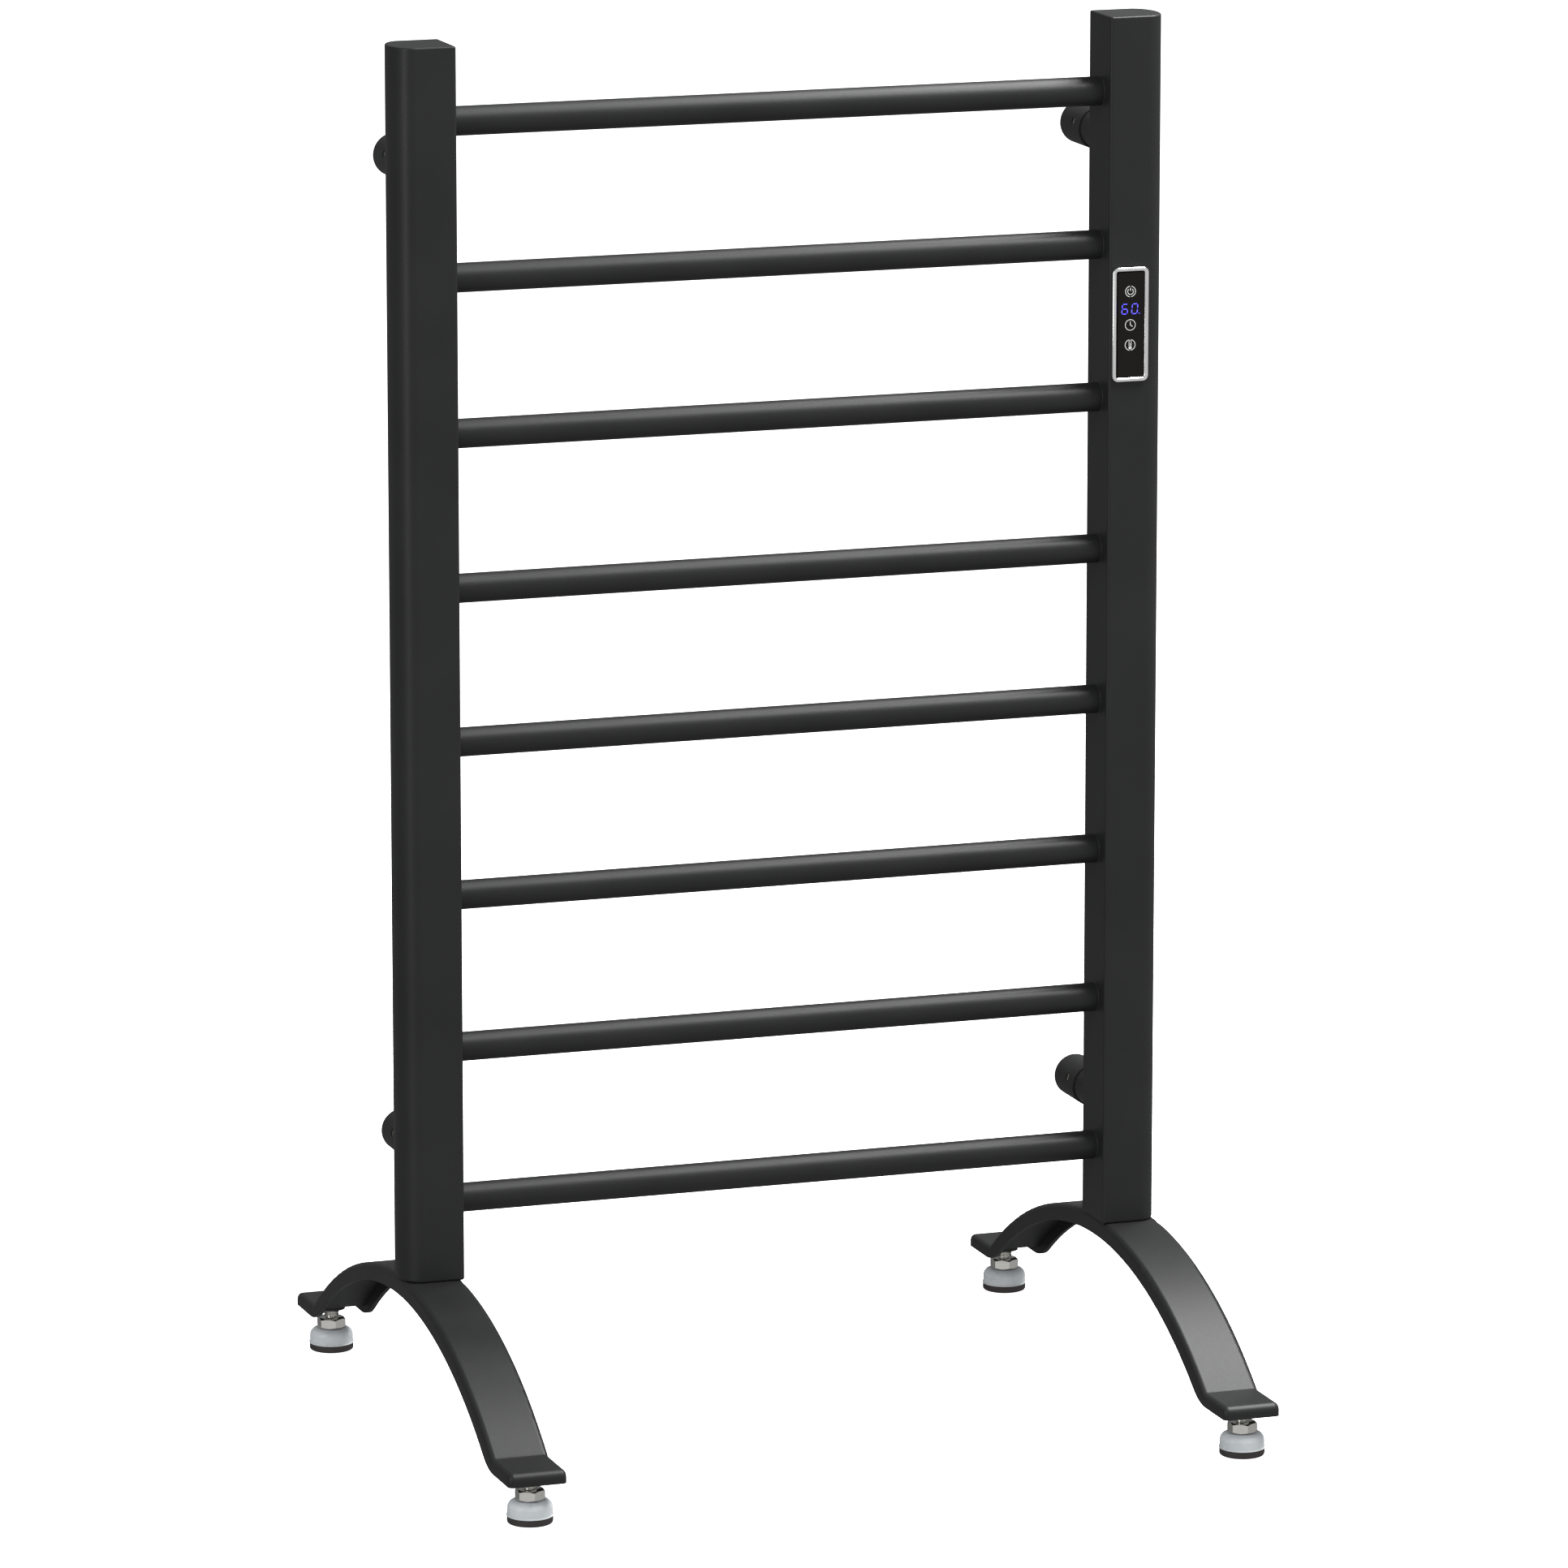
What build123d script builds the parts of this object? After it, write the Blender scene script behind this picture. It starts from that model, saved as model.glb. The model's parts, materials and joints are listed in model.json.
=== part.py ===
"""Ladder towel warmer: eight heated rungs between two D-profile posts on arched legs.

Millimetres. +Z is up, -Y is the front, +X is the viewer's right. The origin is on the floor,
in the middle of the rack.
"""

from build123d import *
import math
import os

# Ladder
RUNG_COUNT = 8
RUNG_PITCH = 100.0
RUNG_R = 9.5
RUNG_WALL = 1.2
RUNG_INSERT = 3.0            # how far a rung passes the post's inner face
POST_INNER_X = 220.0         # inner face of each post
POST_DEPTH = 40.0            # along Y
POST_FLAT = 27.0             # width of the flat front and back, along X
POST_NOSE = 13.0             # how far the rounded outer side stands past the flats
POST_WALL = 1.5
POST_CORNER = 2.0
POST_BOTTOM = 105.0
POST_HEIGHT = 800.0
POST_TOP = POST_BOTTOM + POST_HEIGHT
FIRST_RUNG_Z = POST_BOTTOM + RUNG_PITCH / 2
CAP_T = 3.5
CAP_PLUG = 8.0
PLUG_GAP = 0.1                # between a cap or base plug and the post's inside
BASE_T = 5.0
POST_FACE_Y = POST_DEPTH / 2
POST_MID_X = 240.0           # middle of the post's section, over the leg

# Legs
LEG_W = 38.5
LEG_T = 3.0
LEG_APEX_Z = 105.6
LEG_R = 323.0
LEG_FLANGE = 11.4            # depth of the channel's sides
LEG_EDGE = 3.5
LEG_HALF_LENGTH = 238.0
TAB_TOP = 36.5
TAB_BOTTOM = 28.0
BEND_TOP_R = 4.0
BEND_UNDER_R = 36.0
TIP_R = 5.0
BOLT_Y = 11.0
BOLT_R = 3.0
BOLT_HEAD_R = 5.25
BOLT_HEAD_T = 3.3
BOLT_SEAT_Z = 102.1
BOLT_TOP_Z = 118.0

# Feet
FOOT_Y = 220.0
SOLE_T = 3.6
SOLE_R = 14.6
PAD_R = 15.0
PAD_TOP = 14.9
PAD_SHOULDER = 5.0
HEX_AF = 17.0
HEX_BOTTOM = 15.2
HEX_TOP = 21.6
STUD_R = 5.0
STUD_TOP = 34.7
PIVOT_R = 4.0
PIVOT_BOTTOM = 8.0
BOSS_R = 9.25
BOSS_BOTTOM = 27.8
BOSS_HOLE_TOP = 35.0
FIT = 0.05                   # radial clearance of a shaft in its hole

# Wall standoffs
STANDOFF_X = 234.0
STANDOFF_INSET = 80.0        # from each end of the post
SPIGOT_BASE_R = 13.0
SPIGOT_SEAM_Y = 38.0
SPIGOT_R = 10.0
SPIGOT_END_Y = 58.0
SLEEVE_R = 14.0
SLEEVE_GAP = 0.3
SLEEVE_END_Y = 72.7
SOCKET_R = 10.5              # the open rear end, for a wall peg
SOCKET_START_Y = 58.3
GRUB_Y = 50.0
GRUB_R = 2.5
GRUB_TILT = 17.0             # degrees above level, on the -X side
GRUB_SOCKET_AF = 2.5

# Touch panel
PANEL_X = 234.0
PANEL_Z = 705.0
BEZEL_W = 25.0
BEZEL_H = 75.0
BEZEL_CORNER = 4.0
BEZEL_FRONT_Y = -22.9
BEZEL_BACK_Y = -20.6
GLASS_W = 18.2
GLASS_H = 68.2
GLASS_GAP = 0.1
GLASS_FRONT_Y = -22.5
GLASS_BACK_Y = -20.9
CUTOUT_W = 20.0
CUTOUT_H = 70.0
HOUSING_BACK_Y = -6.0
HOUSING_WALL = 1.2
BOARD_FRONT_Y = -18.6
BOARD_T = 1.2
DISPLAY_Z = PANEL_Z + BEZEL_H / 2 - 28.0
KEY_DROPS = (16.6, 38.5, 51.6)   # touch keys, down from the bezel's top edge
KEY_SPRING_R = 3.0

# Wiring
CABLE_R = 2.0
CABLE_TURN_X = 240.0
CABLE_BEND = 12.0
CABLE_END_X = 228.0
LEAD_R = 1.5
LEAD_X = 242.0
LEAD_Y = 10.0
LEAD_BEND = 6.0
BLOCK_BOTTOM = 682.0
BLOCK_TOP = 704.0
BLOCK_FRONT_Y = 4.0
BLOCK_W = 9.0
CUTOUT_BOTTOM = 760.0
CUTOUT_TOP = 776.0
GLAND_X = 236.0
GLAND_Z = 130.0
GLAND_BORE_R = 3.5
GLAND_THREAD_R = 6.0
GLAND_HEX_AF = 16.0

SIDES = {"left": -1, "right": 1}
ENDS = {"front": -1, "rear": 1}
LEVELS = {"lower": POST_BOTTOM + STANDOFF_INSET, "upper": POST_TOP - STANDOFF_INSET}


def rung_z(number):
    return FIRST_RUNG_Z + RUNG_PITCH * (number - 1)


def cylinder_y(radius, y_low, y_high, x, z):
    """A round bar along +Y."""
    return Plane((x, y_low, z), x_dir=(1, 0, 0), z_dir=(0, 1, 0)) * extrude(Circle(radius), y_high - y_low)


def cylinder_z(radius, z_low, z_high, x, y):
    return Pos(x, y, z_low) * extrude(Circle(radius), z_high - z_low)


def hexagon(across_flats):
    return RegularPolygon(across_flats / math.sqrt(3), 6)


def post_section(side, inset):
    """D-shaped section: flat inner face, flat front and back, half-elliptical outer side."""
    start = POST_INNER_X + inset
    flat_end = POST_INNER_X + POST_FLAT
    half_depth = POST_DEPTH / 2 - inset
    box = Pos((start + flat_end) / 2, 0) * Rectangle(flat_end - start, 2 * half_depth)
    corners = box.vertices().group_by(Axis.X)[0]
    box = fillet(corners, max(POST_CORNER - inset, 0.5))
    nose = Pos(flat_end, 0) * Ellipse(POST_NOSE - inset, half_depth)
    section = box + nose
    return section if side > 0 else section.mirror(Plane.YZ)


def post_slab(side, inset, z_low, z_high):
    return Pos(0, 0, z_low) * extrude(post_section(side, inset), z_high - z_low)


def panel_slab(width, height, corner, y_low, y_high):
    """A rounded rectangular block in the touch panel's place on the right post."""
    place = Plane((PANEL_X, y_low, PANEL_Z), x_dir=(1, 0, 0), z_dir=(0, 1, 0))
    return place * extrude(RectangleRounded(width, height, corner), y_high - y_low)


def make_post(side):
    tube = post_slab(side, 0, POST_BOTTOM + BASE_T, POST_TOP - CAP_T)
    tube -= post_slab(side, POST_WALL, POST_BOTTOM + BASE_T, POST_TOP - CAP_T)
    for number in range(1, RUNG_COUNT + 1):
        x_place = side * (POST_INNER_X + POST_WALL / 2)
        hole = Pos(x_place, 0, rung_z(number)) * Rot(0, 90, 0) * Cylinder(RUNG_R, 2 * POST_WALL)
        tube -= hole
    if side > 0:
        tube -= panel_slab(CUTOUT_W, CUTOUT_H, 2.0, -POST_FACE_Y - 1, -POST_FACE_Y + POST_WALL + 1)
        wall_y = POST_FACE_Y - POST_WALL
        tube -= cylinder_y(GLAND_THREAD_R, wall_y - 1, POST_FACE_Y + 1, GLAND_X, GLAND_Z)
    return tube


def make_cap(side):
    lid = post_slab(side, 0, POST_TOP - CAP_T, POST_TOP)
    lid = fillet(lid.edges().group_by(Axis.Z)[-1], 1.2)
    return lid + post_slab(side, POST_WALL + PLUG_GAP, POST_TOP - CAP_T - CAP_PLUG, POST_TOP - CAP_T)


def make_base(side):
    plate = post_slab(side, 0, POST_BOTTOM, POST_BOTTOM + BASE_T)
    plate = fillet(plate.edges().group_by(Axis.Z)[0], 1.5)
    plate += post_slab(side, POST_WALL + PLUG_GAP, POST_BOTTOM + BASE_T, POST_BOTTOM + 2 * BASE_T)
    for end in ENDS.values():
        plate -= cylinder_z(BOLT_R, POST_BOTTOM - 1, POST_BOTTOM + 3 * BASE_T, side * POST_MID_X, end * BOLT_Y)
    return plate


def make_rung(number):
    length = 2 * (POST_INNER_X + RUNG_INSERT)
    tube = Cylinder(RUNG_R, length) - Cylinder(RUNG_R - RUNG_WALL, length)
    return Pos(0, 0, rung_z(number)) * Rot(0, 90, 0) * tube


def leg_side_view():
    """Outline of the leg in Y and Z: an arch that runs out into a level tab at each end."""
    centre_z = LEG_APEX_Z - LEG_R
    above = Pos(0, TAB_BOTTOM + LEG_R / 2) * Rectangle(2 * LEG_R, LEG_R)
    tabs_z = (TAB_TOP + TAB_BOTTOM) / 2
    tabs = Pos(0, tabs_z) * Rectangle(2 * LEG_HALF_LENGTH, TAB_TOP - TAB_BOTTOM)
    outline = (Pos(0, centre_z) * Circle(LEG_R)) & above
    outline = outline + tabs - Pos(0, centre_z) * Circle(LEG_R - LEG_FLANGE)
    corners = outline.vertices()
    tips = [v for v in corners if abs(v.X) > LEG_HALF_LENGTH - 1 and v.Y > TAB_TOP - 1]
    outline = fillet(tips, TIP_R)
    tops = [v for v in outline.vertices() if abs(v.X) < LEG_HALF_LENGTH - 2 * TIP_R and v.Y > TAB_TOP - 1]
    outline = fillet(tops, BEND_TOP_R)
    unders = [v for v in outline.vertices() if abs(v.X) < LEG_HALF_LENGTH - 2 * TIP_R and v.Y < TAB_BOTTOM + 1]
    return fillet(unders, BEND_UNDER_R)


def leg_hollow_view():
    """Outline of the channel's open inside, in Y and Z."""
    centre_z = LEG_APEX_Z - LEG_R
    ceiling = TAB_TOP - LEG_T
    above = Pos(0, ceiling + LEG_R / 2) * Rectangle(2 * LEG_R, LEG_R)
    arch = (Pos(0, centre_z) * Circle(LEG_R - LEG_T)) & above
    return arch + Pos(0, ceiling / 2) * Rectangle(2 * (LEG_HALF_LENGTH - LEG_T), ceiling)


def make_leg(side):
    centre_z = LEG_APEX_Z - LEG_R
    x_low = -LEG_W / 2
    leg = Pos(x_low, 0, 0) * extrude(Plane.YZ * leg_side_view(), LEG_W, dir=(1, 0, 0))
    rounded = []
    for edge in leg.edges():
        middle = edge.position_at(0.5)
        on_side = abs(abs(middle.X) - LEG_W / 2) < 0.01 and abs((edge @ 0).X - (edge @ 1).X) < 0.01
        from_centre = math.hypot(middle.Y, middle.Z - centre_z)
        if on_side and from_centre > LEG_R - 1 and middle.Z > TAB_BOTTOM + 0.5:
            rounded.append(edge)
    leg = fillet(rounded, LEG_EDGE)
    leg -= Pos(0, 0, POST_BOTTOM + 5) * Box(LEG_W + 2, 2 * POST_DEPTH, 10)
    hollow_w = LEG_W - 2 * LEG_T
    leg -= Pos(-hollow_w / 2, 0, 0) * extrude(Plane.YZ * leg_hollow_view(), hollow_w, dir=(1, 0, 0))
    for end in ENDS.values():
        leg -= cylinder_z(BOLT_R + 0.2, BOLT_SEAT_Z - 5, POST_BOTTOM + 1, 0, end * BOLT_Y)
        leg += cylinder_z(BOSS_R, BOSS_BOTTOM, TAB_TOP - LEG_T + 0.5, 0, end * FOOT_Y)
        leg -= cylinder_z(STUD_R + FIT, BOSS_BOTTOM - 1, BOSS_HOLE_TOP, 0, end * FOOT_Y)
    return Pos(side * POST_MID_X, 0, 0) * leg


def make_leg_bolts():
    bolts = []
    for side in SIDES.values():
        for end in ENDS.values():
            x = side * POST_MID_X
            y = end * BOLT_Y
            head = cylinder_z(BOLT_HEAD_R, BOLT_SEAT_Z - BOLT_HEAD_T, BOLT_SEAT_Z, x, y)
            head = fillet(head.edges().group_by(Axis.Z)[0], 1.5)
            head -= Pos(x, y, BOLT_SEAT_Z - BOLT_HEAD_T) * extrude(hexagon(4.0), 2.0)
            bolts.append(head + cylinder_z(BOLT_R, BOLT_SEAT_Z, BOLT_TOP_Z, x, y))
    return Compound(children=bolts)


def make_foot_pad(x, y):
    pad = cylinder_z(PAD_R, SOLE_T, PAD_TOP, x, y)
    pad = fillet(pad.edges().group_by(Axis.Z)[-1], PAD_SHOULDER)
    return pad - cylinder_z(PIVOT_R + FIT, PIVOT_BOTTOM - 0.2, PAD_TOP + 1, x, y)


def make_foot_sole(x, y):
    sole = cylinder_z(SOLE_R, 0, SOLE_T, x, y)
    return fillet(sole.edges().group_by(Axis.Z)[0], 0.8)


def make_foot_stud(x, y):
    nut = Pos(x, y, HEX_BOTTOM) * extrude(hexagon(HEX_AF), HEX_TOP - HEX_BOTTOM)
    stud = cylinder_z(STUD_R, HEX_TOP, STUD_TOP, x, y)
    pivot = cylinder_z(PIVOT_R, PIVOT_BOTTOM, HEX_BOTTOM, x, y)
    return nut + stud + pivot


def make_spigot(x, z):
    base = cylinder_y(SPIGOT_BASE_R, POST_FACE_Y, SPIGOT_SEAM_Y, x, z)
    nose = cylinder_y(SPIGOT_R, SPIGOT_SEAM_Y, SPIGOT_END_Y, x, z)
    nose = chamfer(nose.edges().group_by(Axis.Y)[-1], 1.0)
    return base + nose


def grub_place(x, z):
    """Plane on the standoff's axis, facing out along the grub screw."""
    tilt = math.radians(GRUB_TILT)
    return Plane((x, GRUB_Y, z), x_dir=(0, 1, 0), z_dir=(-math.cos(tilt), 0, math.sin(tilt)))


def make_sleeve(x, z):
    start = SPIGOT_SEAM_Y + SLEEVE_GAP
    sleeve = cylinder_y(SLEEVE_R, start, SLEEVE_END_Y, x, z)
    sleeve = fillet(sleeve.edges(), 0.6)
    sleeve -= cylinder_y(SPIGOT_R + FIT, start - 1, SLEEVE_END_Y, x, z)
    sleeve -= cylinder_y(SOCKET_R, SOCKET_START_Y, SLEEVE_END_Y + 1, x, z)
    return sleeve - grub_place(x, z) * extrude(Circle(GRUB_R), SLEEVE_R + 1)


def make_grub_screw(x, z):
    inner = SPIGOT_R + 0.4
    outer = SLEEVE_R - 0.6
    screw = Pos(0, 0, inner) * extrude(Circle(GRUB_R), outer - inner)
    screw -= Pos(0, 0, outer - 1.6) * extrude(hexagon(GRUB_SOCKET_AF), 2.0)
    return grub_place(x, z) * screw


def make_gasket():
    rim = panel_slab(BEZEL_W - 0.6, BEZEL_H - 0.6, BEZEL_CORNER - 0.3, BEZEL_BACK_Y, -POST_FACE_Y)
    return rim - panel_slab(CUTOUT_W, CUTOUT_H, 2.0, BEZEL_BACK_Y - 1, -POST_FACE_Y + 1)


def make_bezel():
    frame = panel_slab(BEZEL_W, BEZEL_H, BEZEL_CORNER, BEZEL_FRONT_Y, BEZEL_BACK_Y)
    frame = fillet(frame.edges().group_by(Axis.Y)[0], 1.0)
    gap = 2 * GLASS_GAP
    frame -= panel_slab(GLASS_W + gap, GLASS_H + gap, 1.5, BEZEL_FRONT_Y - 1, BEZEL_BACK_Y + 1)
    return frame


def make_glass():
    return panel_slab(GLASS_W, GLASS_H, 1.4, GLASS_FRONT_Y, GLASS_BACK_Y)


def make_control_housing():
    width = CUTOUT_W - 0.4
    height = CUTOUT_H - 0.4
    tray = panel_slab(width, height, 1.8, BEZEL_BACK_Y, HOUSING_BACK_Y)
    wall = 2 * HOUSING_WALL
    inside = panel_slab(width - wall, height - wall, 0.8, BEZEL_BACK_Y - 1, HOUSING_BACK_Y - HOUSING_WALL)
    return tray - inside


def make_touch_board():
    width = CUTOUT_W - 0.4 - 2 * HOUSING_WALL
    height = CUTOUT_H - 0.4 - 2 * HOUSING_WALL
    return panel_slab(width, height, 0.8, BOARD_FRONT_Y, BOARD_FRONT_Y + BOARD_T)


def make_display():
    y_middle = (GLASS_BACK_Y + BOARD_FRONT_Y) / 2
    module = Box(13.0, BOARD_FRONT_Y - GLASS_BACK_Y, 10.5)
    return Pos(PANEL_X, y_middle, DISPLAY_Z) * module


def make_key_springs():
    springs = []
    for drop in KEY_DROPS:
        z = PANEL_Z + BEZEL_H / 2 - drop
        springs.append(cylinder_y(KEY_SPRING_R, GLASS_BACK_Y, BOARD_FRONT_Y, PANEL_X, z))
    return Compound(children=springs)


def swept_tube(points, bend, radius):
    """A round tube along straight runs joined by tangent arcs."""
    path = FilletPolyline(*points, radius=bend)
    section = Plane(path @ 0, z_dir=path % 0) * Circle(radius)
    return sweep(section, path)


def make_heating_cable():
    """One cable threaded through every rung, turning back inside the posts."""
    points = [(CABLE_END_X, 0, rung_z(1))]
    for number in range(1, RUNG_COUNT):
        turn_x = -CABLE_TURN_X if number % 2 else CABLE_TURN_X
        points.append((turn_x, 0, rung_z(number)))
        points.append((turn_x, 0, rung_z(number + 1)))
    points.append((CABLE_END_X, 0, rung_z(RUNG_COUNT)))
    return swept_tube(points, CABLE_BEND, CABLE_R)


def make_lead(rung, direction, end_z):
    """Cold lead from a cable end, back past the turns to the terminal block."""
    start_z = rung_z(rung)
    points = [
        (CABLE_END_X, 0, start_z),
        (LEAD_X, 0, start_z),
        (LEAD_X, LEAD_Y, start_z + direction * 20),
        (LEAD_X, LEAD_Y, end_z),
    ]
    return swept_tube(points, LEAD_BEND, LEAD_R)


def make_terminal_block():
    depth = POST_FACE_Y - POST_WALL - BLOCK_FRONT_Y
    middle = (LEAD_X, BLOCK_FRONT_Y + depth / 2, (BLOCK_BOTTOM + BLOCK_TOP) / 2)
    return Pos(*middle) * Box(BLOCK_W, depth, BLOCK_TOP - BLOCK_BOTTOM)


def make_thermal_cutout():
    middle_z = (CUTOUT_BOTTOM + CUTOUT_TOP) / 2
    body = Pos(LEAD_X, LEAD_Y, middle_z) * Box(8.0, 7.0, CUTOUT_TOP - CUTOUT_BOTTOM)
    return body - cylinder_z(LEAD_R, CUTOUT_BOTTOM - 1, CUTOUT_TOP + 1, LEAD_X, LEAD_Y)


def make_control_wires():
    """Two short wires from the control housing back to the terminal block."""
    wires = []
    for z in (BLOCK_BOTTOM + 8, BLOCK_TOP - 6):
        wires.append(cylinder_y(0.8, HOUSING_BACK_Y, BLOCK_FRONT_Y, LEAD_X + 3.5, z))
    return Compound(children=wires)


def make_gland():
    place = Plane((GLAND_X, POST_FACE_Y, GLAND_Z), x_dir=(1, 0, 0), z_dir=(0, 1, 0))
    flange = place * extrude(hexagon(GLAND_HEX_AF), 5.0)
    dome = cylinder_y(7.0, POST_FACE_Y + 5, POST_FACE_Y + 15, GLAND_X, GLAND_Z)
    dome = fillet(dome.edges().group_by(Axis.Y)[-1], 3.0)
    thread = cylinder_y(GLAND_THREAD_R, POST_FACE_Y - 7, POST_FACE_Y, GLAND_X, GLAND_Z)
    bore = cylinder_y(GLAND_BORE_R, POST_FACE_Y - 8, POST_FACE_Y + 16, GLAND_X, GLAND_Z)
    return flange + dome + thread - bore


def make_gland_nut():
    start = POST_FACE_Y - POST_WALL - 4.0
    place = Plane((GLAND_X, start, GLAND_Z), x_dir=(1, 0, 0), z_dir=(0, 1, 0))
    nut = place * extrude(hexagon(GLAND_HEX_AF), 4.0)
    return nut - cylinder_y(GLAND_THREAD_R, start - 1, POST_FACE_Y, GLAND_X, GLAND_Z)


def write(name, shape):
    export_step(shape, f"parts/{name}.step")


def main():
    os.makedirs("parts", exist_ok=True)
    for side_name, side in SIDES.items():
        write(f"{side_name}_post", make_post(side))
        write(f"{side_name}_post_cap", make_cap(side))
        write(f"{side_name}_post_base", make_base(side))
        write(f"{side_name}_leg", make_leg(side))
        for end_name, end in ENDS.items():
            place = (side * POST_MID_X, end * FOOT_Y)
            write(f"foot_pad_{end_name}_{side_name}", make_foot_pad(*place))
            write(f"foot_sole_{end_name}_{side_name}", make_foot_sole(*place))
            write(f"foot_stud_{end_name}_{side_name}", make_foot_stud(*place))
        for level_name, level_z in LEVELS.items():
            place = (side * STANDOFF_X, level_z)
            write(f"standoff_spigot_{level_name}_{side_name}", make_spigot(*place))
            write(f"standoff_sleeve_{level_name}_{side_name}", make_sleeve(*place))
            write(f"grub_screw_{level_name}_{side_name}", make_grub_screw(*place))
    for number in range(1, RUNG_COUNT + 1):
        write(f"rung_{number}", make_rung(number))
    write("leg_bolts", make_leg_bolts())
    write("panel_gasket", make_gasket())
    write("panel_bezel", make_bezel())
    write("panel_glass", make_glass())
    write("control_housing", make_control_housing())
    write("touch_board", make_touch_board())
    write("display_module", make_display())
    write("key_springs", make_key_springs())
    write("heating_cable", make_heating_cable())
    write("lower_lead", make_lead(1, 1, BLOCK_BOTTOM))
    write("upper_lead", make_lead(RUNG_COUNT, -1, BLOCK_TOP))
    write("terminal_block", make_terminal_block())
    write("thermal_cutout", make_thermal_cutout())
    write("control_wires", make_control_wires())
    write("cord_gland", make_gland())
    write("gland_nut", make_gland_nut())


main()
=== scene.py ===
"""Looks for the ladder towel warmer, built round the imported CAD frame. Metres, +Z up, -Y is the front."""

import json
import math

import bmesh
import bpy
from mathutils import Matrix, Vector


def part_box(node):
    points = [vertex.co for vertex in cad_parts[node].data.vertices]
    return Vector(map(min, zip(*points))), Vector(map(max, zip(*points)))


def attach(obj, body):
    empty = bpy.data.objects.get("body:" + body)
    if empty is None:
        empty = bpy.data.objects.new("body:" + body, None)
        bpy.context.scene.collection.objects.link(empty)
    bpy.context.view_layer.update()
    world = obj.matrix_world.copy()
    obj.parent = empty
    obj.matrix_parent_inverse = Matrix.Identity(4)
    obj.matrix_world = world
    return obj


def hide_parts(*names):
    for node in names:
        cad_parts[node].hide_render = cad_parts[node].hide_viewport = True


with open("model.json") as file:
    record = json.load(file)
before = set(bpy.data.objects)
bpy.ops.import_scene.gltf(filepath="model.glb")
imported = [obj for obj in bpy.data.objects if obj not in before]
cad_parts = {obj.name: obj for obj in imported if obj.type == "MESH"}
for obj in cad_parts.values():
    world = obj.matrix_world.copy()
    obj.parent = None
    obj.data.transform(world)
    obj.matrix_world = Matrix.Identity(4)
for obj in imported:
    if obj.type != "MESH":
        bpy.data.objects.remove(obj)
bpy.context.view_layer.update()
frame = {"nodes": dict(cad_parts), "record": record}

MM = 0.001
NODES = frame["nodes"]
CORNERS = [f"{end}_{side}" for end in ("front", "rear") for side in ("left", "right")]
LEVELS = [f"{level}_{side}" for level in ("lower", "upper") for side in ("left", "right")]
RUNGS = 8
ON_AXIS = 1e-7              # a profile point nearer the axis than this is a single vertex
SMOOTH_ANGLE = 32.0         # degrees: sharper edges stay sharp


# Materials

def new_material(name):
    """A node material and its Principled shader."""
    material = bpy.data.materials.new(name)
    material.use_nodes = True
    return material, material.node_tree.nodes["Principled BSDF"]


def add_node(material, kind, **inputs):
    node = material.node_tree.nodes.new(kind)
    for key, value in inputs.items():
        node.inputs[key.replace("_", " ")].default_value = value
    return node


def link(material, out_socket, in_socket):
    material.node_tree.links.new(out_socket, in_socket)


def object_noise(material, scale, detail=2.0, roughness=0.5):
    """Noise in the object's own coordinates, in metres, so its grain keeps its size on every piece."""
    place = material.node_tree.nodes.new("ShaderNodeTexCoord")
    noise = add_node(material, "ShaderNodeTexNoise", Scale=scale, Detail=detail, Roughness=roughness)
    link(material, place.outputs["Object"], noise.inputs["Vector"])
    return noise


def ramp(material, factor, low, high, start=0.3, end=0.7):
    """Two values between two stops, as a colour or a grey level."""
    node = material.node_tree.nodes.new("ShaderNodeValToRGB")
    node.color_ramp.elements[0].position = start
    node.color_ramp.elements[1].position = end
    node.color_ramp.elements[0].color = (*low, 1.0)
    node.color_ramp.elements[1].color = (*high, 1.0)
    link(material, factor, node.inputs["Fac"])
    return node.outputs["Color"]


def grey(value):
    return (value, value, value)


def add_bump(material, shader, height, strength, distance):
    bump = add_node(material, "ShaderNodeBump", Strength=strength, Distance=distance)
    link(material, height, bump.inputs["Height"])
    link(material, bump.outputs["Normal"], shader.inputs["Normal"])


def powder_coat():
    """Satin black powder coat: a fine orange peel under a finer grain, with faint cloudiness."""
    material, shader = new_material("powder_coat")
    cloud = object_noise(material, 14.0, 3.0)
    link(material, ramp(material, cloud.outputs["Fac"], (0.0120, 0.0124, 0.0124), (0.0160, 0.0164, 0.0168)),
         shader.inputs["Base Color"])
    grain = object_noise(material, 1500.0, 3.0, 0.65)
    link(material, ramp(material, grain.outputs["Fac"], grey(0.40), grey(0.50)), shader.inputs["Roughness"])
    peel = object_noise(material, 520.0, 2.0, 0.5)
    mix = add_node(material, "ShaderNodeMath")
    mix.operation = "ADD"
    link(material, grain.outputs["Fac"], mix.inputs[0])
    link(material, peel.outputs["Fac"], mix.inputs[1])
    add_bump(material, shader, mix.outputs["Value"], 0.22, 0.00012)
    shader.inputs["Specular IOR Level"].default_value = 0.27
    return material


def plated(name, colour, rough_low, rough_high, scale):
    """Plated metal with a faint uneven polish."""
    material, shader = new_material(name)
    shader.inputs["Metallic"].default_value = 1.0
    cloud = object_noise(material, scale, 3.0)
    dark = tuple(0.93 * channel for channel in colour)
    link(material, ramp(material, cloud.outputs["Fac"], dark, colour), shader.inputs["Base Color"])
    link(material, ramp(material, cloud.outputs["Fac"], grey(rough_low), grey(rough_high)),
         shader.inputs["Roughness"])
    fine = object_noise(material, scale * 8, 2.0)
    add_bump(material, shader, fine.outputs["Fac"], 0.06, 0.00005)
    return material


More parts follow.
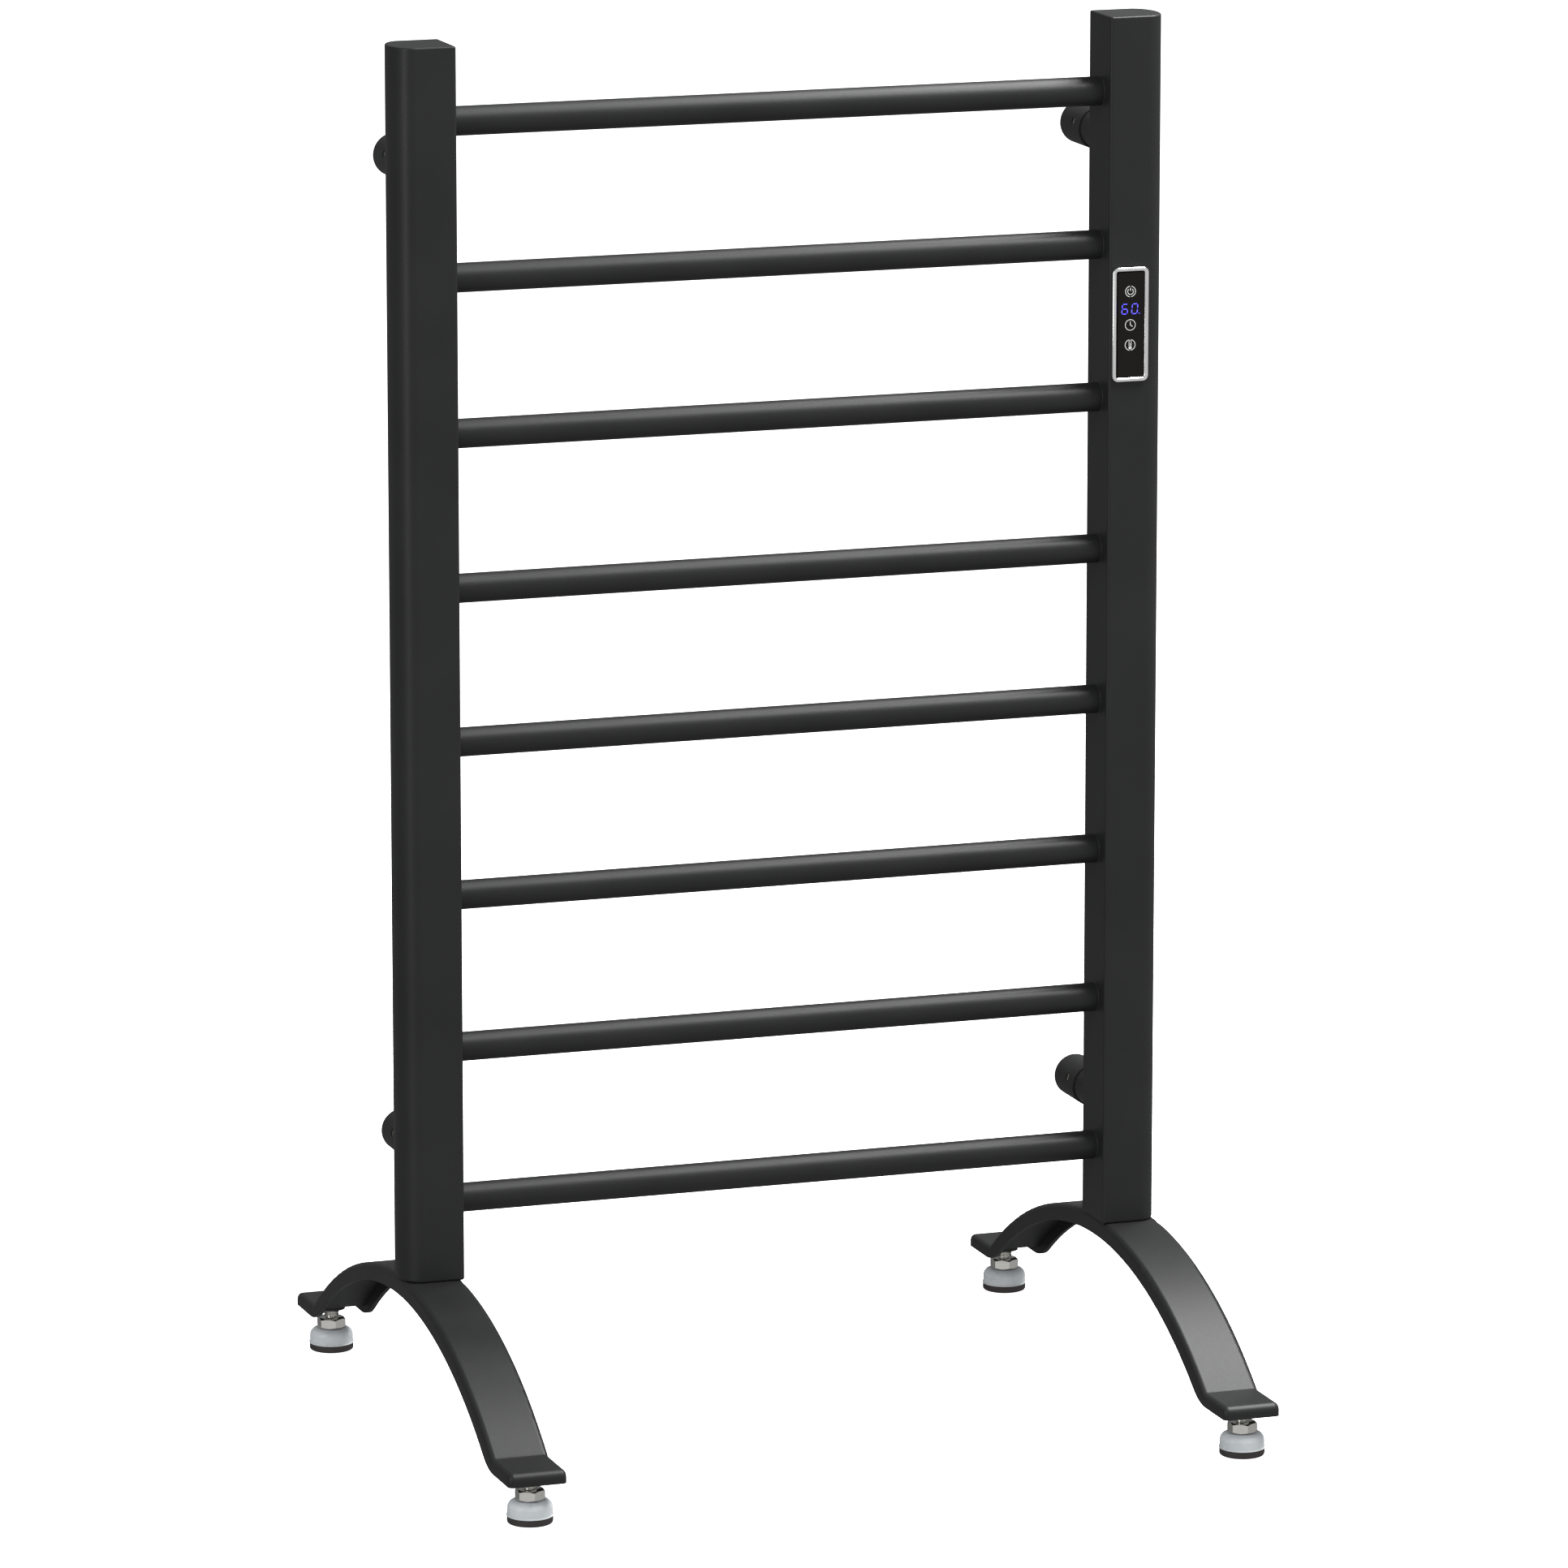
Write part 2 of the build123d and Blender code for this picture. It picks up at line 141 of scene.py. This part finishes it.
def black_glass():
    material, shader = new_material("black_glass")
    smudge = object_noise(material, 60.0, 4.0, 0.6)
    link(material, ramp(material, smudge.outputs["Fac"], grey(0.03), grey(0.07)), shader.inputs["Roughness"])
    link(material, ramp(material, smudge.outputs["Fac"], (0.0060, 0.0052, 0.0048), (0.0075, 0.0062, 0.0056)),
         shader.inputs["Base Color"])
    shader.inputs["Specular IOR Level"].default_value = 0.16
    return material


def frosted_plastic():
    """Pale, slightly translucent polyethylene."""
    material, shader = new_material("frosted_plastic")
    cloud = object_noise(material, 90.0, 3.0)
    link(material, ramp(material, cloud.outputs["Fac"], (0.54, 0.575, 0.60), (0.61, 0.64, 0.66)),
         shader.inputs["Base Color"])
    link(material, ramp(material, cloud.outputs["Fac"], grey(0.26), grey(0.36)), shader.inputs["Roughness"])
    shader.inputs["Subsurface Weight"].default_value = 0.35
    shader.inputs["Subsurface Radius"].default_value = (1.0, 1.0, 1.2)
    shader.inputs["Subsurface Scale"].default_value = 0.004
    fine = object_noise(material, 900.0, 2.0)
    add_bump(material, shader, fine.outputs["Fac"], 0.08, 0.0001)
    return material


def moulded(name, low, high, rough_low, rough_high, bump=0.15, scale=700.0):
    """Moulded plastic or rubber: fine grain, and a slight change of tone."""
    material, shader = new_material(name)
    cloud = object_noise(material, 40.0, 3.0)
    link(material, ramp(material, cloud.outputs["Fac"], low, high), shader.inputs["Base Color"])
    fine = object_noise(material, scale, 3.0, 0.6)
    link(material, ramp(material, fine.outputs["Fac"], grey(rough_low), grey(rough_high)),
         shader.inputs["Roughness"])
    add_bump(material, shader, fine.outputs["Fac"], bump, 0.0001)
    return material


def lit_digits():
    material, shader = new_material("lit_digits")
    cloud = object_noise(material, 700.0, 1.0)
    colour = ramp(material, cloud.outputs["Fac"], (0.075, 0.065, 1.0), (0.16, 0.14, 1.0))
    link(material, colour, shader.inputs["Emission Color"])
    shader.inputs["Emission Strength"].default_value = 1.49
    shader.inputs["Base Color"].default_value = (0.02, 0.02, 0.1, 1.0)
    shader.inputs["Roughness"].default_value = 0.4
    return material


MATERIALS = {
    "black_powder_coat": powder_coat(),
    "bright_steel": plated("bright_nickel", (0.80, 0.79, 0.75), 0.10, 0.20, 120.0),
    "zinc_steel": plated("zinc", (0.62, 0.64, 0.67), 0.25, 0.40, 200.0),
    "chrome_trim": plated("chrome", (0.93, 0.93, 0.93), 0.05, 0.10, 60.0),
    "black_glass": black_glass(),
    "frosted_plastic": frosted_plastic(),
    "dark_rubber": moulded("dark_rubber", (0.020, 0.016, 0.016), (0.032, 0.026, 0.026), 0.55, 0.7, 0.3),
    "black_rubber": moulded("black_rubber", grey(0.012), grey(0.02), 0.6, 0.75, 0.3),
    "black_plastic": moulded("black_plastic", grey(0.014), grey(0.022), 0.35, 0.5),
    "white_plastic": moulded("white_plastic", (0.66, 0.66, 0.63), (0.74, 0.74, 0.71), 0.35, 0.5),
    "circuit_board": moulded("circuit_board", (0.01, 0.08, 0.03), (0.02, 0.13, 0.05), 0.3, 0.4),
    "cable_silicone": moulded("cable_silicone", (0.30, 0.06, 0.04), (0.38, 0.09, 0.06), 0.45, 0.6),
    "key_print": moulded("key_print", (0.62, 0.63, 0.61), (0.72, 0.73, 0.70), 0.5, 0.6, 0.1),
    "display_light": lit_digits(),
}


# Meshes

def finish_piece(mesh_data, name, slot, body):
    """Smooth shading by angle, the slot's material, and the CAD body it rides on."""
    mesh = bpy.data.meshes.new(name)
    mesh_data.to_mesh(mesh)
    mesh_data.free()
    piece = bpy.data.objects.new(name, mesh)
    bpy.context.scene.collection.objects.link(piece)
    mesh.shade_smooth()
    mesh.set_sharp_from_angle(angle=math.radians(SMOOTH_ANGLE))
    mesh.materials.append(MATERIALS[slot])
    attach(piece, body)
    return piece


def polar_vert(mesh, place, radius, angle, height):
    return mesh.verts.new(place @ Vector((radius * math.cos(angle), radius * math.sin(angle), height)))


def upright(low, high):
    """Places a turned piece on the vertical axis through the middle of that box."""
    centre = (low + high) / 2
    return Matrix.Translation((centre.x, centre.y, 0))


def facing(direction):
    """Turns the local Z axis to that direction."""
    return Vector(direction).to_track_quat("Z", "Y").to_matrix().to_4x4()


def add_lathe(mesh, profile, place, segments=96):
    """Turns a closed profile of (radius, height) points about the local Z axis."""
    rings = []
    for radius, height in profile:
        if radius < ON_AXIS:
            rings.append([mesh.verts.new(place @ Vector((0, 0, height)))])
            continue
        ring = []
        for step in range(segments):
            ring.append(polar_vert(mesh, place, radius, math.tau * step / segments, height))
        rings.append(ring)
    for low, high in zip(rings, rings[1:] + rings[:1]):
        if len(low) == 1 and len(high) == 1:
            continue
        for step in range(segments):
            after = (step + 1) % segments
            if len(low) == 1:
                mesh.faces.new((low[0], high[after], high[step]))
            elif len(high) == 1:
                mesh.faces.new((low[step], low[after], high[0]))
            else:
                mesh.faces.new((low[step], low[after], high[after], high[step]))
    bmesh.ops.recalc_face_normals(mesh, faces=mesh.faces)


def arc_points(centre_r, centre_z, radius, start, end, steps=8):
    """Points of a round stretch of a profile, with angles in degrees from the outward direction."""
    points = []
    for step in range(steps + 1):
        angle = math.radians(start + (end - start) * step / steps)
        points.append((centre_r + radius * math.cos(angle), centre_z + radius * math.sin(angle)))
    return points


def add_polar(mesh, radius_at, heights, place, segments):
    """A closed solid whose radius depends on angle and height."""
    rings = []
    for height in heights:
        ring = []
        for step in range(segments):
            angle = math.tau * step / segments
            radius = radius_at(angle, height)
            ring.append(polar_vert(mesh, place, radius, angle, height))
        rings.append(ring)
    for low, high in zip(rings, rings[1:]):
        for step in range(segments):
            after = (step + 1) % segments
            mesh.faces.new((low[step], low[after], high[after], high[step]))
    for ring in (rings[0], rings[-1]):
        mesh.faces.new(ring)
    bmesh.ops.recalc_face_normals(mesh, faces=mesh.faces)


def steps_between(low, high, count):
    return [low + (high - low) * step / count for step in range(count + 1)]


# Levelling feet

HEX_AF = 17.0 * MM
HEX_HEIGHT = 6.4 * MM
HEX_END = 0.985              # the chamfer starts at this share of the radius to the flats
HEX_SEAT = 7.2 * MM          # from the foot of the pivot to the hexagon's underside
THREAD_R = 5.0 * MM
THREAD_PITCH = 1.5 * MM
THREAD_DEPTH = 0.8 * MM
THREAD_ROWS = 12             # per turn
CREST_GAIN = 1.25            # above 1 it flattens the thread's crests
PIVOT_R = 4.0 * MM
GRUB_TILT = 17.0             # degrees above level
SOLE_LIP = 1.1 * MM          # the sole is this much thicker than the CAD sole, and the pad starts higher


def make_stud(corner):
    """Stud with a chamfered hexagon and a rolled thread."""
    low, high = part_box(f"foot_stud_{corner}")
    place = upright(low, high)
    hex_low = low.z + HEX_SEAT
    hex_high = hex_low + HEX_HEIGHT
    sixth = math.pi / 3

    def hexagon(angle, height):
        flat = (HEX_AF / 2) / math.cos((angle + sixth / 2) % sixth - sixth / 2)
        from_end = min(height - hex_low, hex_high - height)
        cone = HEX_AF / 2 * HEX_END + from_end * math.sqrt(3)
        return min(flat, cone)

    def thread(angle, height):
        turn = (height / THREAD_PITCH - angle / math.tau) % 1.0
        crest = min(1.0, CREST_GAIN * abs(2 * turn - 1))
        from_end = min(height - hex_high, high.z - height)
        runout = min(1.0, max(from_end, 0.0) / THREAD_PITCH)
        return THREAD_R - THREAD_DEPTH * (1 - crest * runout)

    mesh = bmesh.new()
    edge = 0.9 * MM
    heights = steps_between(hex_low, hex_low + edge, 5) + steps_between(hex_high - edge, hex_high, 5)
    add_polar(mesh, hexagon, heights, place, 144)
    rows = round((high.z - hex_high) / THREAD_PITCH * THREAD_ROWS)
    add_polar(mesh, thread, steps_between(hex_high, high.z, rows), place, 72)
    lead_in = 0.5 * MM
    pivot = [(0, low.z), (PIVOT_R - lead_in, low.z), (PIVOT_R, low.z + lead_in)]
    pivot += [(PIVOT_R, hex_low), (0, hex_low)]
    add_lathe(mesh, pivot, place, 48)
    stud = finish_piece(mesh, f"stud_{corner}", "bright_steel", f"stud_{corner}")
    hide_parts(f"foot_stud_{corner}")


def make_pad(corner):
    """Pale plastic pad with rounded shoulders, a dished top and a thin rim above the sole."""
    low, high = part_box(f"foot_pad_{corner}")
    place = upright(low, high)
    radius = (high.x - low.x) / 2
    shoulder = 5.0 * MM
    recess_r = PIVOT_R + 0.05 * MM
    groove = 0.6 * MM
    rim_height = 0.6 * MM
    body_r = radius - groove
    recess_z = low.z + 4.2 * MM
    ring_z = low.z + SOLE_LIP
    profile = [(0, ring_z), (radius - 0.2 * MM, ring_z), (radius, ring_z + 0.2 * MM)]
    profile += [(radius, ring_z + rim_height), (body_r, ring_z + rim_height + 0.25 * MM)]
    profile += arc_points(body_r - shoulder, high.z - shoulder, shoulder, 0, 86, 14)
    profile += [(9.4 * MM, high.z - 0.05 * MM), (9.0 * MM, high.z - 0.3 * MM)]
    profile += [(recess_r + 0.3 * MM, high.z - 0.3 * MM), (recess_r, high.z - 0.6 * MM)]
    profile += [(recess_r, recess_z), (0, recess_z)]
    mesh = bmesh.new()
    add_lathe(mesh, profile, place, 128)
    pad = finish_piece(mesh, f"pad_{corner}", "frosted_plastic", f"foot_{corner}")
    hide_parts(f"foot_pad_{corner}")


def make_sole(corner):
    """Rubber sole with a rounded edge and two shallow grooves underneath."""
    low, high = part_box(f"foot_sole_{corner}")
    place = upright(low, high)
    radius = (high.x - low.x) / 2
    edge = 1.4 * MM
    profile = [(0, low.z)]
    for groove_r in (6.0 * MM, 10.0 * MM):
        half = 0.7 * MM
        profile += [(groove_r - half, low.z), (groove_r - half / 2, low.z + half)]
        profile += [(groove_r + half / 2, low.z + half), (groove_r + half, low.z)]
    profile += arc_points(radius - edge, low.z + edge, edge, -90, 0, 8)
    top = high.z + SOLE_LIP
    profile += [(radius, top - 0.3 * MM), (radius - 0.3 * MM, top), (0, top)]
    mesh = bmesh.new()
    add_lathe(mesh, profile, place, 128)
    sole = finish_piece(mesh, f"sole_{corner}", "dark_rubber", f"foot_{corner}")
    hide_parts(f"foot_sole_{corner}")


def make_grub_screw(level):
    """Set screw with a rounded outer edge and a socket, facing -X and a little up."""
    low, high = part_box(f"grub_screw_{level}")
    radius = (high.y - low.y) / 2
    tilt = math.radians(GRUB_TILT)
    half = (high.x - low.x - 2 * radius * math.sin(tilt)) / math.cos(tilt) / 2
    turn = Matrix.Rotation(tilt - math.pi / 2, 4, "Y")
    place = Matrix.Translation((low + high) / 2) @ turn
    edge = 0.6 * MM
    socket_r = 1.2 * MM
    profile = [(0, -half), (radius - 0.3 * MM, -half), (radius, 0.3 * MM - half)]
    profile += arc_points(radius - edge, half - edge, edge, 0, 90, 6)
    profile += [(socket_r, half), (socket_r - 0.1 * MM, half - 1.2 * MM), (0, half - 1.6 * MM)]
    mesh = bmesh.new()
    add_lathe(mesh, profile, place, 64)
    screw = finish_piece(mesh, f"grub_{level}", "bright_steel", f"sleeve_{level}")
    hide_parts(f"grub_screw_{level}")


for corner_name in CORNERS:
    make_stud(corner_name)
    make_pad(corner_name)
    make_sole(corner_name)
for level_name in LEVELS:
    make_grub_screw(level_name)


# Welds

WELD = 0.5 * MM


def weld_profile(radius, steps=6):
    """A small concave weld fillet between a tube of that radius and the face at height 0."""
    points = [(radius - 0.2 * MM, 0)]
    for step in range(steps + 1):
        angle = math.pi / 2 * step / steps
        points.append((radius + WELD * (1 - math.sin(angle)), WELD * (1 - math.cos(angle))))
    points.append((radius - 0.2 * MM, WELD))
    return points


def make_rung_welds(side_name, side):
    """The fillets where the rungs meet one post."""
    low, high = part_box(f"{side_name}_post")
    face_x = high.x if side < 0 else low.x
    mesh = bmesh.new()
    for number in range(1, RUNGS + 1):
        rung_low, rung_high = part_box(f"rung_{number}")
        centre = (rung_low + rung_high) / 2
        place = Matrix.Translation((face_x, centre.y, centre.z)) @ facing((-side, 0, 0))
        add_lathe(mesh, weld_profile((rung_high.z - rung_low.z) / 2), place, 64)
    finish_piece(mesh, f"{side_name}_rung_welds", "black_powder_coat", "rack")


def make_spigot_welds():
    """The fillets where the standoff spigots meet the backs of the posts."""
    mesh = bmesh.new()
    for level in LEVELS:
        low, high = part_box(f"standoff_spigot_{level}")
        centre = (low + high) / 2
        place = Matrix.Translation((centre.x, low.y, centre.z)) @ facing((0, 1, 0))
        add_lathe(mesh, weld_profile((high.x - low.x) / 2), place, 64)
    finish_piece(mesh, "standoff_welds", "black_powder_coat", "rack")


make_rung_welds("left", -1)
make_rung_welds("right", 1)
make_spigot_welds()


# Touch panel

glass_low, glass_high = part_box("panel_glass")
bezel_low, bezel_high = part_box("panel_bezel")
PANEL_X = (glass_low.x + glass_high.x) / 2
PRINT_T = 0.08 * MM


def rounded_outline(width, height, radius, steps=8):
    """Points of a rounded rectangle in X and Z, anticlockwise."""
    points = []
    for corner, (sx, sz) in enumerate(((1, 1), (-1, 1), (-1, -1), (1, -1))):
        cx = sx * (width / 2 - radius)
        cz = sz * (height / 2 - radius)
        for step in range(steps + 1):
            angle = math.pi / 2 * (corner + step / steps)
            points.append((cx + radius * math.cos(angle), cz + radius * math.sin(angle)))
    return points


def make_bezel():
    """Chrome frame: a rounded outer shoulder, a narrow flat and a slope down to the glass."""
    centre = (bezel_low + bezel_high) / 2
    width = bezel_high.x - bezel_low.x
    height = bezel_high.z - bezel_low.z
    depth = bezel_high.y - bezel_low.y
    rim = (width - (glass_high.x - glass_low.x)) / 2 - 0.1 * MM
    corner = 4.0 * MM
    shoulder = 1.1 * MM
    section = [(0.0, 0.0)]
    for step in range(9):
        angle = math.pi / 2 * step / 8
        section.append((shoulder * (1 - math.cos(angle)), depth - shoulder * (1 - math.sin(angle))))
    section += [(2.0 * MM, depth - 0.05 * MM), (2.2 * MM, depth - 0.15 * MM)]
    section += [(rim - 0.1 * MM, depth - 1.0 * MM), (rim, depth - 1.2 * MM), (rim, 0.0)]
    mesh = bmesh.new()
    loops = []
    for inset, rise in section:
        outline = rounded_outline(width - 2 * inset, height - 2 * inset, corner - inset)
        loops.append([mesh.verts.new((centre.x + x, bezel_high.y - rise, centre.z + z)) for x, z in outline])
    for inner, outer in zip(loops, loops[1:] + loops[:1]):
        for step in range(len(inner)):
            after = (step + 1) % len(inner)
            mesh.faces.new((inner[step], inner[after], outer[after], outer[step]))
    bmesh.ops.recalc_face_normals(mesh, faces=mesh.faces)
    bezel = finish_piece(mesh, "bezel", "chrome_trim", "rack")
    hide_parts("panel_bezel")


def add_print(mesh, outline, base):
    """A closed flat patch of ink on the glass, from an outline in X and Z about base."""
    front = []
    back = []
    for x, z in outline:
        front.append(mesh.verts.new((base[0] + x, glass_low.y - PRINT_T, base[1] + z)))
        back.append(mesh.verts.new((base[0] + x, glass_low.y + PRINT_T / 4, base[1] + z)))
    mesh.faces.new(front)
    mesh.faces.new(list(reversed(back)))
    for step in range(len(outline)):
        after = (step + 1) % len(outline)
        mesh.faces.new((front[step], back[step], back[after], front[after]))


def arc_band(radius, width, start, end, steps=40):
    """Outline of a bent strip. Angles in degrees, anticlockwise from +X."""
    outer = []
    inner = []
    for step in range(steps + 1):
        angle = math.radians(start + (end - start) * step / steps)
        outer.append(((radius + width / 2) * math.cos(angle), (radius + width / 2) * math.sin(angle)))
        inner.append(((radius - width / 2) * math.cos(angle), (radius - width / 2) * math.sin(angle)))
    return outer + inner[::-1]


def bar(x0, z0, x1, z1, width):
    """Outline of a straight strip with round ends."""
    angle = math.atan2(z1 - z0, x1 - x0)
    points = []
    for cx, cz, turn in ((x1, z1, -math.pi / 2), (x0, z0, math.pi / 2)):
        for step in range(7):
            a = angle + turn + math.pi * step / 6
            points.append((cx + width / 2 * math.cos(a), cz + width / 2 * math.sin(a)))
    return points


ICON_R = 3.45 * MM
ICON_LINE = 0.45 * MM
HAND_LINE = 0.5 * MM
TUBE_R = 0.85 * MM           # the thermometer's tube and its line
TUBE_LINE = 0.32 * MM
BULB_R = 1.1 * MM
BULB_DROP = 1.8 * MM
KEY_DROPS = {"power": 15.8 * MM, "digits": 27.2 * MM, "clock": 37.7 * MM, "thermometer": 50.8 * MM}
PRINT_X = PANEL_X - 0.4 * MM


def icon_base(name):
    return (PRINT_X, bezel_high.z - KEY_DROPS[name])


def add_split_ring(mesh, base):
    """A ring open at the top and the bottom."""
    gap = 9
    add_print(mesh, arc_band(ICON_R, ICON_LINE, -90 + gap, 90 - gap), base)
    add_print(mesh, arc_band(ICON_R, ICON_LINE, 90 + gap, 270 - gap), base)


def make_key_prints():
    """Three generic signs: power, clock and thermometer."""
    mesh = bmesh.new()
    base = icon_base("power")
    add_split_ring(mesh, base)
    add_print(mesh, arc_band(1.95 * MM, ICON_LINE, 130, 410), base)
    add_print(mesh, bar(0, 0.6 * MM, 0, 2.2 * MM, HAND_LINE), base)
    base = icon_base("clock")
    add_print(mesh, arc_band(ICON_R, ICON_LINE, -90, 89), base)
    add_print(mesh, arc_band(ICON_R, ICON_LINE, 90, 269), base)
    add_print(mesh, bar(0, 0, 0, 2.1 * MM, HAND_LINE), base)
    add_print(mesh, bar(0.2 * MM, -0.05 * MM, 1.4 * MM, -0.95 * MM, HAND_LINE), base)
    base = icon_base("thermometer")
    add_split_ring(mesh, base)
    add_print(mesh, arc_band(TUBE_R, TUBE_LINE, 0, 180), (base[0], base[1] + 2.0 * MM))
    for side in (-1, 1):
        add_print(mesh, bar(side * TUBE_R, 1.9 * MM, side * TUBE_R, -0.5 * MM, TUBE_LINE), base)
    add_print(mesh, bar(0, 1.2 * MM, 0, -0.8 * MM, HAND_LINE), base)
    disc = [(BULB_R * math.cos(math.tau * k / 24), BULB_R * math.sin(math.tau * k / 24) - BULB_DROP)
            for k in range(24)]
    add_print(mesh, disc, base)
    bmesh.ops.recalc_face_normals(mesh, faces=mesh.faces)
    finish_piece(mesh, "key_prints", "key_print", "rack")


DIGIT_W = 4.4 * MM
DIGIT_H = 7.0 * MM
STROKE = 0.64 * MM
SLANT = 0.09
SEGMENT_GAP = 0.36 * MM


def segment(x0, z0, x1, z1):
    """Outline of one pointed display segment, leaning with the digit."""
    along = Vector((x1 - x0, z1 - z0)).normalized()
    across = Vector((-along.y, along.x)) * STROKE / 2
    start = Vector((x0, z0)) + along * SEGMENT_GAP
    end = Vector((x1, z1)) - along * SEGMENT_GAP
    point = along * STROKE / 2
    outline = [start, start + point - across, end - point - across]
    outline += [end, end - point + across, start + point + across]
    return [(p.x + SLANT * p.y, p.y) for p in outline]


def make_digits():
    """The lit display reads 60 and a point."""
    half_w = (DIGIT_W - STROKE) / 2
    half_h = (DIGIT_H - STROKE) / 2
    bars = {
        "top": (-half_w, half_h, half_w, half_h),
        "middle": (-half_w, 0, half_w, 0),
        "bottom": (-half_w, -half_h, half_w, -half_h),
        "upper_left": (-half_w, 0, -half_w, half_h),
        "upper_right": (half_w, 0, half_w, half_h),
        "lower_left": (-half_w, -half_h, -half_w, 0),
        "lower_right": (half_w, -half_h, half_w, 0),
    }
    unlit = {"six": ["upper_right"], "nought": ["middle"]}
    base = icon_base("digits")
    mesh = bmesh.new()
    for digit, offset in (("six", -3.85 * MM), ("nought", 3.0 * MM)):
        for name, ends in bars.items():
            if name not in unlit[digit]:
                add_print(mesh, segment(*ends), (base[0] + offset, base[1]))
    add_print(mesh, bar(0, 0, 0.05 * MM, 0, 0.75 * MM), (base[0] + 6.2 * MM, base[1] - half_h))
    bmesh.ops.recalc_face_normals(mesh, faces=mesh.faces)
    finish_piece(mesh, "lit_digits", "display_light", "rack")


make_bezel()
make_key_prints()
make_digits()


# CAD nodes that show as they are

def dress_cad_nodes():
    """Each carried-over CAD node gets its slot's material. Its mesh stays as it is."""
    slots = {entry["node"]: entry["material_slot"] for entry in frame["record"]["subparts"]}
    for name, node in NODES.items():
        node.data.materials.clear()
        node.data.materials.append(MATERIALS[slots[name]])


dress_cad_nodes()


# Stage, light and camera

CAMERA_AZIMUTH = 19.05       # degrees to the left of the front
CAMERA_ELEVATION = 11.81     # degrees above level
CAMERA_DISTANCE = 6.24
CAMERA_AIM = (0.0044, 0.0, 0.4126)
CAMERA_LENS = 221.2          # focal length in millimetres
SKY_FRONT = 0.57             # strength of the light from the front, and from the back
SKY_BACK = 0.17
SKY_FADE = (-0.7, 0.5)       # the change runs between these values of the direction's Y
FLOOR_HALF = 40.0


def make_floor():
    """A wide white floor that glows. Reflections and bounced light leave it out."""
    mesh = bpy.data.meshes.new("floor")
    half = FLOOR_HALF
    corners = [(-half, -half, 0), (half, -half, 0), (half, half, 0), (-half, half, 0)]
    mesh.from_pydata(corners, [], [(0, 1, 2, 3)])
    floor = bpy.data.objects.new("floor", mesh)
    bpy.context.scene.collection.objects.link(floor)
    material, shader = new_material("pale_floor")
    shader.inputs["Base Color"].default_value = (0.93, 0.93, 0.93, 1.0)
    shader.inputs["Roughness"].default_value = 0.9
    shader.inputs["Specular IOR Level"].default_value = 0.1
    shader.inputs["Emission Color"].default_value = (1, 1, 1, 1)
    shader.inputs["Emission Strength"].default_value = 1.0
    mesh.materials.append(material)
    floor.visible_glossy = False
    floor.visible_diffuse = False


def add_softbox(name, place, target, width, height, power):
    """A rectangular light at place, turned to face target. Power in watts."""
    data = bpy.data.lights.new(name, "AREA")
    data.shape = "RECTANGLE"
    data.size = width
    data.size_y = height
    data.energy = power
    light = bpy.data.objects.new(name, data)
    light.location = place
    light.rotation_mode = "QUATERNION"
    light.rotation_quaternion = (Vector(target) - Vector(place)).to_track_quat("-Z", "Y")
    bpy.context.scene.collection.objects.link(light)


def add_sun(strength, angle):
    """Light from straight above, spread over angle degrees. It gives no highlights."""
    data = bpy.data.lights.new("sky_fill", "SUN")
    data.energy = strength
    data.angle = math.radians(angle)
    light = bpy.data.objects.new("sky_fill", data)
    light.visible_glossy = False
    bpy.context.scene.collection.objects.link(light)


def make_world():
    """White light from all round, stronger from the front than from the back."""
    world = bpy.data.worlds.new("studio")
    world.use_nodes = True
    background = world.node_tree.nodes["Background"]
    background.inputs["Color"].default_value = (1, 1, 1, 1)
    place = world.node_tree.nodes.new("ShaderNodeTexCoord")
    split = world.node_tree.nodes.new("ShaderNodeSeparateXYZ")
    fade = world.node_tree.nodes.new("ShaderNodeMapRange")
    fade.inputs["From Min"].default_value = SKY_FADE[0]
    fade.inputs["From Max"].default_value = SKY_FADE[1]
    fade.inputs["To Min"].default_value = SKY_FRONT
    fade.inputs["To Max"].default_value = SKY_BACK
    world.node_tree.links.new(place.outputs["Generated"], split.inputs["Vector"])
    world.node_tree.links.new(split.outputs["Y"], fade.inputs["Value"])
    world.node_tree.links.new(fade.outputs["Result"], background.inputs["Strength"])
    bpy.context.scene.world = world


def make_camera():
    """A long lens, from the front left and a little above."""
    azimuth = math.radians(CAMERA_AZIMUTH)
    elevation = math.radians(CAMERA_ELEVATION)
    back = Vector((-math.sin(azimuth) * math.cos(elevation), -math.cos(azimuth) * math.cos(elevation),
                   math.sin(elevation)))
    data = bpy.data.cameras.new("camera")
    data.sensor_width = 36.0
    data.lens = CAMERA_LENS
    data.clip_start = 0.1
    data.clip_end = 200.0
    camera = bpy.data.objects.new("camera", data)
    camera.location = Vector(CAMERA_AIM) + back * CAMERA_DISTANCE
    camera.rotation_mode = "QUATERNION"
    camera.rotation_quaternion = (-back).to_track_quat("-Z", "Y")
    bpy.context.scene.collection.objects.link(camera)
    bpy.context.scene.camera = camera


make_floor()
make_world()
add_sun(strength=1.6, angle=150)
add_softbox("overhead", place=(1.25, -0.15, 2.6), target=(0.5, -0.15, 0.1), width=2.2, height=0.9, power=150)
add_softbox("left_side", place=(-2.8, -1.1, 1.2), target=(0, 0, 0.5), width=0.5, height=2.3, power=26)
make_camera()
bpy.context.scene.view_settings.view_transform = "Standard"
